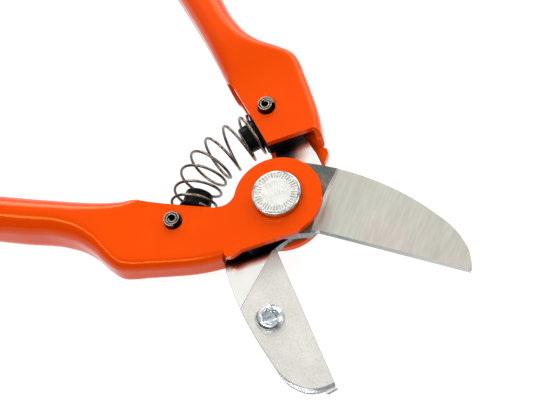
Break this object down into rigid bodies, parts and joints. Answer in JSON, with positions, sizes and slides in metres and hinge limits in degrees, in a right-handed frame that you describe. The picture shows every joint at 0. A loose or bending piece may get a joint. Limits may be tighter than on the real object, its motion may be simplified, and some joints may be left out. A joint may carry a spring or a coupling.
{
  "type": "bypass pruner",
  "caption": "Hand pruner with folded sheet-steel handles, a curved cutting blade that passes a screwed-on counter-blade, and a bowed return spring.",
  "frame": {"origin": "on the pivot axis, in the plane of the pivot nut's outer face, flush with the bolt's end", "axes": "+Z along the pivot bolt towards its disc head, +X along the centreline between the handles towards the blades, +Y towards the counter handle"},
  "size_m": [0.2032, 0.1518, 0.0198],
  "materials": {
    "orange_coat": "gloss",
    "ground_steel": "fine ground",
    "bright_steel": "bright rolled",
    "satin_steel": "satin speckled",
    "zinc_plate": "zinc plated",
    "dark_steel": "dark oiled",
    "spring_steel": "drawn wire",
    "black_plastic": "moulded"
  },
  "bodies": {
    "blade_half": {"blade_handle": "orange_coat", "cutting_blade": "ground_steel", "pivot_bolt": "zinc_plate", "pivot_washer": "zinc_plate", "pivot_nut": "zinc_plate", "blade_spring_pin": "dark_steel", "blade_spring_seat": "black_plastic", "return_spring": "spring_steel"},
    "counter_half": {"counter_handle": "orange_coat", "counter_blade_carrier": "bright_steel", "counter_blade": "satin_steel", "counter_blade_screw": "zinc_plate", "counter_blade_nut": "zinc_plate", "counter_spring_pin": "dark_steel", "counter_spring_seat": "black_plastic"},
    "catch": {"catch_bail": "spring_steel"}
  },
  "joints": [
    {"name": "main_pivot", "type": "hinge", "parent": "blade_half", "child": "counter_half", "pos_m": [0, 0, 0.01], "axis": [0, 0, 1], "range_deg": [0, 48.5], "stiffness_Nm_per_rad": 0.67, "springref_deg": -14.32, "deforming": ["return_spring"]},
    {"name": "catch_swing", "type": "hinge", "parent": "blade_half", "child": "catch", "pos_m": [-0.13141, -0.06863, 0.01], "axis": [0, 0, 1], "range_deg": [-243, 0]}
  ]
}
